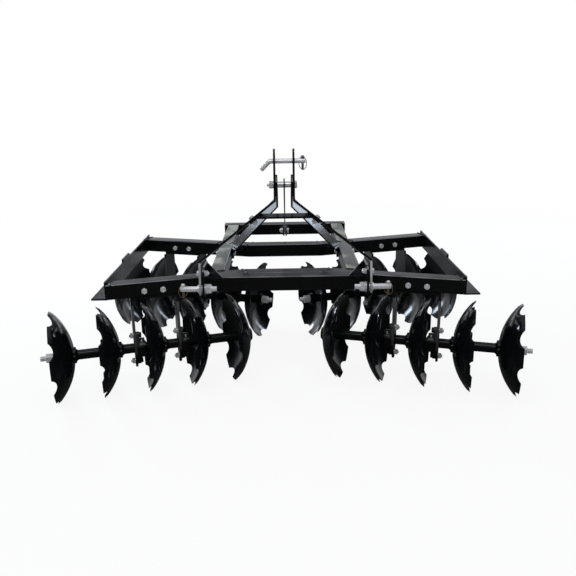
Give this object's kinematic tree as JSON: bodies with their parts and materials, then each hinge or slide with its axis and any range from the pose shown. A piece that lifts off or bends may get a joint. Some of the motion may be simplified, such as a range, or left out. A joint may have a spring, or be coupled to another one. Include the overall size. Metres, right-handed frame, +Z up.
{
  "type": "tandem disc harrow",
  "caption": "Lift-type tandem disc harrow: notched dished discs in gangs that turn freely below a welded frame of square tube, with a tractor hitch mast at the front.",
  "frame": {"origin": "middle of the overall box in plan, on the ground the discs stand on", "axes": "+X to the right of the machine as seen from the tractor, across its working width; +Y rearward, away from the tractor; +Z up"},
  "size_m": [2.0156, 1.4544, 1.0037],
  "materials": {
    "frame_paint": "gloss",
    "disc_paint": "gloss",
    "cast_black": "satin",
    "zinc": "zinc plated",
    "yellow_zinc": "yellow zinc plated"
  },
  "bodies": {
    "frame": {"front_crossbar": "frame_paint", "rear_crossbar": "frame_paint", "front_beam_middle": "frame_paint", "rear_beam_middle": "frame_paint", "mast_cross_brace": "frame_paint", "centre_strap": "frame_paint", "strap_clevis": "frame_paint", "mast_bolt": "zinc", "top_pin": "zinc", "linchpins": "yellow_zinc", "main_rail_left": "frame_paint", "main_rail_right": "frame_paint", "front_beam_left": "frame_paint", "front_beam_right": "frame_paint", "rear_beam_left": "frame_paint", "rear_beam_right": "frame_paint", "side_angle_left": "frame_paint", "side_angle_right": "frame_paint", "side_splice_left": "frame_paint", "side_splice_right": "frame_paint", "hitch_lug_left": "frame_paint", "hitch_lug_right": "frame_paint", "mast_strap_left": "frame_paint", "mast_strap_right": "frame_paint", "rear_brace_left": "frame_paint", "rear_brace_right": "frame_paint", "lower_pin_left": "zinc", "lower_pin_right": "zinc", "front_gang_hanger_left": "frame_paint", "front_gang_hanger_right": "frame_paint", "rear_gang_hanger_left": "frame_paint", "rear_gang_hanger_right": "frame_paint", "front_gang_bearings_left": "cast_black", "front_gang_bearings_right": "cast_black", "rear_gang_bearings_left": "cast_black", "rear_gang_bearings_right": "cast_black"},
    "front_left_gang": {"front_gang_axle_left": "zinc", "front_gang_spools_left": "cast_black", "front_gang_discs_left": "disc_paint"},
    "front_right_gang": {"front_gang_axle_right": "zinc", "front_gang_spools_right": "cast_black", "front_gang_discs_right": "disc_paint"},
    "rear_left_gang": {"rear_gang_axle_left": "zinc", "rear_gang_spools_left": "cast_black", "rear_gang_discs_left": "disc_paint"},
    "rear_right_gang": {"rear_gang_axle_right": "zinc", "rear_gang_spools_right": "cast_black", "rear_gang_discs_right": "disc_paint"}
  },
  "joints": [
    {"name": "front_left_gang_turn", "type": "hinge", "parent": "frame", "child": "front_left_gang", "pos_m": [-0.87772, -0.5218, 0.1905], "axis": [0.9613, 0.2756, 0], "continuous": true},
    {"name": "front_right_gang_turn", "type": "hinge", "parent": "frame", "child": "front_right_gang", "pos_m": [0.87772, -0.5218, 0.1905], "axis": [0.9613, -0.2756, 0], "continuous": true},
    {"name": "rear_left_gang_turn", "type": "hinge", "parent": "frame", "child": "rear_left_gang", "pos_m": [-0.19715, 0.19348, 0.1905], "axis": [0.9613, -0.2756, 0], "continuous": true},
    {"name": "rear_right_gang_turn", "type": "hinge", "parent": "frame", "child": "rear_right_gang", "pos_m": [0.19715, 0.19348, 0.1905], "axis": [0.9613, 0.2756, 0], "continuous": true}
  ]
}
